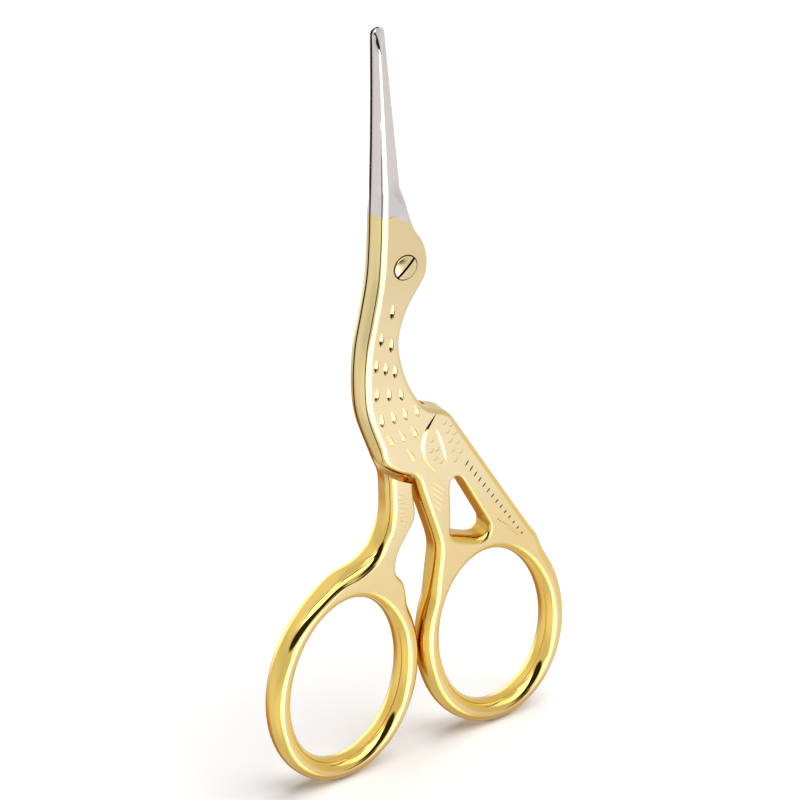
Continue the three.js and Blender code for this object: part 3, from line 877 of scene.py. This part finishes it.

# Where the finish, the painted paler reflection on the flats and the painted shade along the seam
# change, up the frame or across it
BIRD_PALES = (28 * MM, 50 * MM)
ROUNDS_PALE = (36 * MM, 66 * MM)
HEAD_DULLS = (58 * MM, 80 * MM)
PLATING_BEND = -2.5 * MM
PLATING_SLOPE = 0.7
PLATING_WANDER = (-0.45 * MM, 0.85 * MM)
PLATING_FADE = (-0.1 * MM, 0.15 * MM)
SEAM_FOOT = (54.4 * MM, 55 * MM)
SEAM_SLOPE = 0.83
SEAM_SIDES = (0.19 * MM, 0.15 * MM)

# Sizes of its patterns and of the painted shade in hollows, cuts and gaps, and how strongly they
# show
CLOUD_WIDTH = 4 * MM
CLOUD_RANGE = (0.3, 0.7)
CLOUD_SHARES = (-0.14, 0.14)
NOTCH_WIDTH = 1.5 * MM
GRAIN_WIDTH = 0.2 * MM
GRAIN_DEPTH = 0.02 * MM
GRAIN_STRENGTH = 0.04
GRAIN_WEAR = (-0.03, 0.03)
HOLLOW_SHADE_WIDTH = 8 * MM
HOLLOW_SHADE_RANGE = (0.95, 0.5)
CUT_SHADE_RANGE = (0.6, 0.3)
CUT_SHADE_SHARE = 0.9
OCCLUSION_SAMPLES = 8

# How squarely a face looks forward or back, and the polish
FLAT_FACING = (0.95, 0.995)
SIDE_FACING = (0.8, 0.7)
SATIN_SHARES = (0.6, 1)
ROUGHNESS = (0.05, 0.2)

# Pairs of sockets on nodes that map a range or mix colours or numbers, and the mixed colour
FROM = ('From Min', 'From Max')
TO = ('To Min', 'To Max')
COLOURS = (6, 7)
NUMBERS = (2, 3)
MIXED = 2


def cleared(tree):
    tree.nodes.clear()
    return tree


def add(tree, kind, inputs=None, **options):
    """Adds a node, sets its options, and sets or links its inputs, singly or in pairs."""
    made = tree.nodes.new('ShaderNode' + kind)
    for key, value in options.items():
        setattr(made, key, value)
    for keys, values in (inputs or {}).items():
        for key, value in zip(keys, values) if isinstance(keys, tuple) else [(keys, values)]:
            socket = made.inputs[key]
            if isinstance(value, bpy.types.NodeSocket):
                tree.links.new(value, socket)
            else:
                socket.default_value = (*value, 1) if socket.type == 'RGBA' else value
    return made.outputs


def new_material(name):
    made = bpy.data.materials.new(name)
    made.use_nodes = True
    return made, cleared(made.node_tree)


def gold_plated_steel(colours, name, hollow_shading, gap):
    """Gold plate over polished steel: the rounds mirror the room, the flats are satin with a
    painted paler reflection, hollows, cuts and the seam get painted shade, and the blades are bare."""
    made, tree = new_material(name)
    place = add(tree, 'TexCoord')
    spot = add(tree, 'SeparateXYZ', {'Vector': place['Object']})
    facing = add(tree, 'SeparateXYZ', {'Vector': place['Normal']})
    clouds, uneven, grain = (
        add(tree, 'TexNoise', {'Vector': place['Object'], 'Scale': 1 / width, 'Detail': detail})
        for width, detail in ((CLOUD_WIDTH, 3), (NOTCH_WIDTH, 2), (GRAIN_WIDTH, 2))
    )
    # the gold is deeper down on the rings and paler up on the bird, with cloudy patches
    cloudy = add(tree, 'MapRange', {'Value': clouds['Fac'], FROM: CLOUD_RANGE, TO: CLOUD_SHARES})
    pale = []
    for heights in (BIRD_PALES, ROUNDS_PALE):
        rise = add(tree, 'MapRange', {
            'Value': spot['Z'], FROM: heights,
        }, interpolation_type='SMOOTHSTEP')
        pale.append(add(tree, 'Math', {0: rise[0], 1: cloudy[0]}, operation='ADD', use_clamp=True))
    bird_pale, rounds_pale = pale
    rounds = add(tree, 'Mix', {
        'Factor': rounds_pale[0], COLOURS: (colours.ring_gold, colours.body_gold),
    }, data_type='RGBA')
    # painted reflection: faces that look squarely forward or back, mostly up on the bird, are
    # painted a paler gold, darker towards the head; the same mask also makes them satin, which is
    # real roughness
    head = add(tree, 'MapRange', {'Value': spot['Z'], FROM: HEAD_DULLS})
    flats = add(tree, 'Mix', {
        'Factor': head[0], COLOURS: (colours.flat_reflection_gold, colours.head_flat_reflection_gold),
    }, data_type='RGBA')
    squarely = add(tree, 'Math', {0: facing['Y']}, operation='ABSOLUTE')
    flat = add(tree, 'MapRange', {'Value': squarely[0], FROM: FLAT_FACING})
    satin = add(tree, 'MapRange', {'Value': bird_pale[0], TO: SATIN_SHARES})
    flat_satin_and_reflection = add(tree, 'Math', {0: flat[0], 1: satin[0]}, operation='MULTIPLY')
    # painted shade: hollows that ambient occlusion finds are painted a deeper gold, standing in for
    # gold mirrored in gold
    wide = add(tree, 'AmbientOcclusion', {'Distance': HOLLOW_SHADE_WIDTH}, samples=OCCLUSION_SAMPLES)
    hollow_shade_share = add(tree, 'MapRange', {'Value': wide['AO'], FROM: HOLLOW_SHADE_RANGE, TO: (0, hollow_shading)})
    # the plating stops a little unevenly at the root of the blades
    root = BLADE_ROOT * MM + PLATING_SLOPE * PLATING_BEND
    line = add(tree, 'MapRange', {
        'Value': uneven['Fac'], TO: [root + wander for wander in PLATING_WANDER],
    })
    rightwards = add(tree, 'Math', {0: spot['X'], 1: PLATING_BEND}, operation='MAXIMUM')
    sloped = add(tree, 'Math', {
        0: rightwards[0], 1: PLATING_SLOPE, 2: spot['Z'],
    }, operation='MULTIPLY_ADD')
    above_line = add(tree, 'Math', {0: sloped[0], 1: line[0]}, operation='SUBTRACT')
    bare = add(tree, 'MapRange', {'Value': above_line[0], FROM: PLATING_FADE})
    # painted shade: the side faces next to the gap between the halves are painted dark, above the
    # line from hip to shoulder
    beside = add(tree, 'Math', {0: spot['Y']}, operation='ABSOLUTE')
    seam = add(tree, 'MapRange', {'Value': beside[0], FROM: SEAM_SIDES})
    slope = add(tree, 'Math', {
        0: spot['X'], 1: -SEAM_SLOPE, 2: spot['Z'],
    }, operation='MULTIPLY_ADD')
    lapped = add(tree, 'MapRange', {'Value': slope[0], FROM: SEAM_FOOT})
    sideways = add(tree, 'MapRange', {'Value': squarely[0], FROM: SIDE_FACING})
    for share in (sideways, lapped):
        seam = add(tree, 'Math', {0: seam[0], 1: share[0]}, operation='MULTIPLY')
    # painted shade: narrow cuts and gaps that ambient occlusion finds are painted dark
    narrow = add(tree, 'AmbientOcclusion', {'Distance': gap}, samples=OCCLUSION_SAMPLES)
    cut_shade_share = add(tree, 'MapRange', {
        'Value': narrow['AO'], FROM: CUT_SHADE_RANGE, TO: (0, CUT_SHADE_SHARE),
    })
    dark = add(tree, 'Math', {0: seam[0], 1: cut_shade_share[0]}, operation='MAXIMUM')
    # each of these covers what comes before it
    shown = rounds
    for share, finish in (
        (flat_satin_and_reflection, flats[MIXED]),
        (hollow_shade_share, colours.hollow_shade_gold),
        (bare, colours.steel),
        (dark, colours.seam),
    ):
        shown = add(tree, 'Mix', {
            'Factor': share[0], COLOURS: (shown[MIXED], finish),
        }, data_type='RGBA')
    # polishing grain of about 0.02 mm, drawn ten times as coarse so that it shows
    bump = add(tree, 'Bump', {
        'Strength': GRAIN_STRENGTH, 'Distance': GRAIN_DEPTH, 'Height': grain['Fac'],
    })
    gloss = add(tree, 'MapRange', {'Value': flat_satin_and_reflection[0], TO: ROUGHNESS})
    worn = add(tree, 'MapRange', {'Value': grain['Fac'], TO: GRAIN_WEAR})
    roughness = add(tree, 'Math', {0: gloss[0], 1: worn[0]}, operation='ADD', use_clamp=True)
    shader = add(tree, 'BsdfPrincipled', {
        'Base Color': shown[MIXED], 'Metallic': 1, 'Roughness': roughness[0], 'Normal': bump[0],
    })
    add(tree, 'OutputMaterial', {'Surface': shader[0]})
    return made


class SCISSORS_OT_front_half(bpy.types.Operator):
    """Builds the front half: blade, head, neck, body, wing, tail, right leg and right ring"""

    bl_idname = "scissors.front_half"
    bl_label = "Front half"

    def execute(self, context):
        sizes = Millimetres(settings().forging)
        screw = Millimetres(settings().screw)
        half = sizes.thickness / 2
        counterbore = screw.head_diameter + 2 * screw.head_clearance
        floor = -half + screw.head_height + screw.head_clearance
        holes = [shank_hole(screw), bore(counterbore, -REACH, floor)]
        ornament = [*punched_feathers(sizes, -half), wing_edge(sizes, -half)]
        ornament += [*wing_and_tail(sizes, -half), *wing_and_tail(sizes, half)]
        thing = new_object("front_half_forging", plate(front_outlines(sizes), half))
        forge(thing, rear_lap(sizes), blade(sizes, -1), holes, ornament)
        gold = gold_plated_steel(settings().finish, *FORGED)
        finished(thing, gold, "front_half", "front_half")
        return {'FINISHED'}


class SCISSORS_OT_rear_half(bpy.types.Operator):
    """Builds the rear half: blade, the body behind the front half, left leg and left ring"""

    bl_idname = "scissors.rear_half"
    bl_label = "Rear half"

    def execute(self, context):
        sizes = Millimetres(settings().forging)
        screw = Millimetres(settings().screw)
        half = sizes.thickness / 2
        ornament = [*thigh_waves(sizes, -half), *thigh_waves(sizes, half)]
        ornament += punched_feathers(sizes, half)
        thing = new_object("rear_half_forging", plate(rear_outlines(sizes), half))
        forge(thing, front_lap(sizes), blade(sizes, 1), [shank_hole(screw)], ornament)
        gold = gold_plated_steel(settings().finish, *FORGED)
        finished(thing, gold, "rear_half", "rear_half")
        return {'FINISHED'}


class SCISSORS_OT_pivot_screw(bpy.types.Operator):
    """Builds the slotted screw that both halves turn on"""

    bl_idname = "scissors.pivot_screw"
    bl_label = "Pivot screw"

    def execute(self, context):
        sizes = Millimetres(settings().screw)
        half = Millimetres(settings().forging).thickness / 2
        head, shank = sizes.head_diameter / 2, sizes.shank_diameter / 2
        top = -half - sizes.proud
        under = -half + sizes.head_height
        end = half - sizes.end_sink
        profile = []
        for share in np.linspace(DOME_START, 1, DOME_POINTS):
            profile.append([(head - sizes.rim_round) * share, top + sizes.dome * share**3])
        for turn in np.linspace(*RIM_TURNS, RIM_POINTS):
            drop = sizes.dome + sizes.rim_drop * (1 - math.cos(turn))
            profile.append([head - sizes.rim_round * (1 - math.sin(turn)), top + drop])
        profile += [[head, under], [shank, under]]
        profile += [[shank, end - END_CHAMFER], [shank - END_CHAMFER, end]]
        thing = new_object("pivot_screw_turned", turned(profile))
        slot = np.array([[-1, -1], [1, -1], [1, 1], [-1, 1]])
        slot = slot * [sizes.head_diameter, sizes.slot_width / 2]
        c, s = math.cos(settings().screw.slot_turn), math.sin(settings().screw.slot_turn)
        slot = slot @ np.array([[c, s], [-s, c]]) + [PIVOT_X, PIVOT]
        combine(thing, prism(slot, -half - REACH, -half + sizes.slot_depth), 'DIFFERENCE')
        gold = gold_plated_steel(settings().finish, *TURNED)
        finished(thing, gold, "rear_half", "pivot_screw")
        return {'FINISHED'}


# Camera at the photograph's viewing angle, millimetres and degrees
AIM = (-1.1, 0, 58.3)
AZIMUTH = -31.0
ELEVATION = 29.2
ROLL = -2.24
DISTANCE = 520
LENS_SHARE = 3735 / 800  # focal length as a share of the frame's width
SENSOR_WIDTH = 36
CLIP_START = 10

# Floor, and strengths of the lamp and of the white room for floor and camera
FLOOR_REACH = 3000
FLOOR_DEPTH = 0.01
FLOOR_GLOW = 0.15
LAMP_STRENGTH = 3.2
LAMP_ANGLE = 66
LAMP_DIRECTION = (0.32, -0.19, 1)
ROOM_LIGHT = 0.1
ROOM_WHITE = 1.0

# What the polished metal mirrors. Each patch of the studio is
# [azimuth, elevation, half width, half height, tilt in degrees, softness, brightness],
# with azimuth 0 behind the scissors and 90 to their right.
STUDIO_LEVEL = 0.74
WARM_CARD = (1, 0.52, 0.1)  # colour of the first patch
PATCH_DEPTH = 1.2
STUDIO = [
    [8, -46, 36, 16, 0, 0.5, 0.5],
    [-3, 8, 30, 26, 0, 0.3, 1.9],
    [-48, 42, 42, 22, 0, 0.5, 0.96],
    [-70, -20, 26, 20, 0, 0.8, 0.92],
    [-125, -32, 28, 15, 0, 0.6, 1.0],
    [115, -28, 55, 20, 0, 0.7, 0.92],
    [150, 52, 28, 14, 0, 0.5, 1.6],
    [112, 45, 4, 18, 0, 0.5, 0.16],
    [-148, 46, 34, 17, 0, 0.3, 2.8],
    [-128, 36, 15, 4, 0, 0.5, 4.0],
    [-117, 54, 4, 13, 0, 0.5, 4.0],
    [-110, 45, 5, 20, 0, 0.5, 0.36],
    [173, -50, 12, 12, 0, 0.6, 1.8],
    [181, -29, 21, 12, 0, 0.2, 2.6],
    [179, -5, 17, 7, 0, 0.5, 1.1],
    [-174, -12, 13, 4, -20, 0.5, 2.8],
    [163, -11, 13, 5, -41, 0.15, 0.03],
    [-155, 14.5, 40, 14, -10, 0.1, 0.025],
]


def direction(azimuth, elevation):
    a, e = math.radians(azimuth), math.radians(elevation)
    return Vector((math.sin(a) * math.cos(e), math.cos(a) * math.cos(e), math.sin(e)))


def matt_white_paper(colours):
    """Matt paper: an even white with no gloss that keeps a soft shadow."""
    made, tree = new_material("matt_white_paper")
    shader = add(tree, 'BsdfDiffuse', {'Color': colours.floor})
    rays = add(tree, 'LightPath')
    glow = add(tree, 'Math', {0: rays['Is Camera Ray'], 1: FLOOR_GLOW}, operation='MULTIPLY')
    lit = add(tree, 'Emission', {'Strength': glow[0]})
    both = add(tree, 'AddShader', {0: shader[0], 1: lit[0]})
    add(tree, 'OutputMaterial', {'Surface': both[0]})
    return made


def studio_world():
    """A white room for the floor and the camera, with dark and bright patches for the metal."""
    world = bpy.data.worlds.new("studio")
    world.use_nodes = True
    tree = cleared(world.node_tree)
    place = add(tree, 'TexCoord')
    level, warmth = STUDIO_LEVEL, None
    for azimuth, elevation, width, height, tilt, soft, brightness in STUDIO:
        towards, side = direction(azimuth, elevation), direction(azimuth + 90, 0)
        turn = Matrix((towards, side, towards.cross(side))).transposed()
        turn = turn @ Matrix.Rotation(math.radians(tilt), 3, 'X')
        patch = add(tree, 'Mapping', {
            'Vector': place['Generated'],
            'Location': towards,
            'Rotation': turn.to_euler(),
            'Scale': (PATCH_DEPTH, math.radians(width), math.radians(height)),
        }, vector_type='TEXTURE')
        away = add(tree, 'VectorMath', {0: patch[0]}, operation='LENGTH')
        share = add(tree, 'MapRange', {
            'Value': away['Value'], FROM: (1 + soft, 1 - soft),
        }, interpolation_type='SMOOTHSTEP')
        level = add(tree, 'Mix', {'Factor': share[0], NUMBERS: (level, brightness)})[0]
        warmth = warmth or share[0]
    rays = add(tree, 'LightPath')
    warm = add(tree, 'Math', {0: warmth, 1: rays['Is Glossy Ray']}, operation='MULTIPLY')
    tone = add(tree, 'Mix', {
        'Factor': warm[0], COLOURS: ((1, 1, 1), WARM_CARD),
    }, data_type='RGBA')
    room = add(tree, 'Mix', {'Factor': rays['Is Camera Ray'], NUMBERS: (ROOM_LIGHT, ROOM_WHITE)})
    strength = add(tree, 'Mix', {'Factor': rays['Is Glossy Ray'], NUMBERS: (room[0], level)})
    shine = add(tree, 'Background', {'Color': tone[MIXED], 'Strength': strength[0]})
    add(tree, 'OutputWorld', {'Surface': shine[0]})
    return world


class SCISSORS_OT_stage(bpy.types.Operator):
    """Sets up the floor, the studio light and the camera"""

    bl_idname = "scissors.stage"
    bl_label = "Stage"

    def execute(self, context):
        scene = context.scene
        scene.view_settings.view_transform = 'Standard'
        edge = np.array([[-1, -1], [1, -1], [1, 0], [-1, 0]]) * [FLOOR_REACH, FLOOR_DEPTH]
        floor = new_object("floor", prism(edge, -FLOOR_REACH, FLOOR_REACH))
        floor.data.materials.append(matt_white_paper(settings().finish))
        floor.visible_glossy = False
        scene.world = studio_world()
        lamp = bpy.data.lights.new("overhead_softbox", 'SUN')
        lamp.energy = LAMP_STRENGTH
        lamp.angle = math.radians(LAMP_ANGLE)
        softbox = bpy.data.objects.new("overhead_softbox", lamp)
        softbox.rotation_euler = Vector(LAMP_DIRECTION).to_track_quat('Z', 'Y').to_euler()
        softbox.visible_glossy = False
        scene.collection.objects.link(softbox)
        # the view's azimuth is counted from the front
        back = direction(180 - AZIMUTH, ELEVATION)
        right = (-back).cross(Vector((0, 0, 1))).normalized()
        up = right.cross(-back)
        upright = Matrix((right, up, back)).transposed()
        turn = upright @ Matrix.Rotation(math.radians(ROLL), 3, 'Z')
        lens = bpy.data.cameras.new("camera")
        lens.sensor_width = SENSOR_WIDTH
        lens.lens = SENSOR_WIDTH * LENS_SHARE
        lens.clip_start = CLIP_START * MM
        camera = bpy.data.objects.new("camera", lens)
        scene.collection.objects.link(camera)
        spot = (Vector(AIM) + DISTANCE * back) * MM
        camera.matrix_world = Matrix.Translation(spot) @ turn.to_4x4()
        scene.camera = camera
        return {'FINISHED'}


class SCISSORS_PT_panel(bpy.types.Panel):
    bl_label = "Stork embroidery scissors"
    bl_space_type = 'VIEW_3D'
    bl_region_type = 'UI'
    bl_category = "Scissors"

    def draw(self, context):
        for operator in OPERATORS:
            self.layout.operator(operator.bl_idname)
        for group in (settings().forging, settings().screw, settings().finish):
            column = self.layout.column()
            for name in group.__annotations__:
                column.prop(group, name)


OPERATORS = (
    SCISSORS_OT_front_half, SCISSORS_OT_rear_half, SCISSORS_OT_pivot_screw, SCISSORS_OT_stage,
)
CLASSES = (
    ForgingSizes, ScrewSizes, FinishColours, ScissorSettings, *OPERATORS, SCISSORS_PT_panel,
)


def register():
    for made in CLASSES:
        bpy.utils.register_class(made)
    bpy.types.Scene.scissors = PointerProperty(type=ScissorSettings)


def unregister():
    del bpy.types.Scene.scissors
    for made in reversed(CLASSES):
        bpy.utils.unregister_class(made)


def main():
    register()
    bpy.ops.scissors.front_half()
    bpy.ops.scissors.rear_half()
    bpy.ops.scissors.pivot_screw()
    bpy.ops.scissors.stage()


if __name__ == "__main__":
    main()
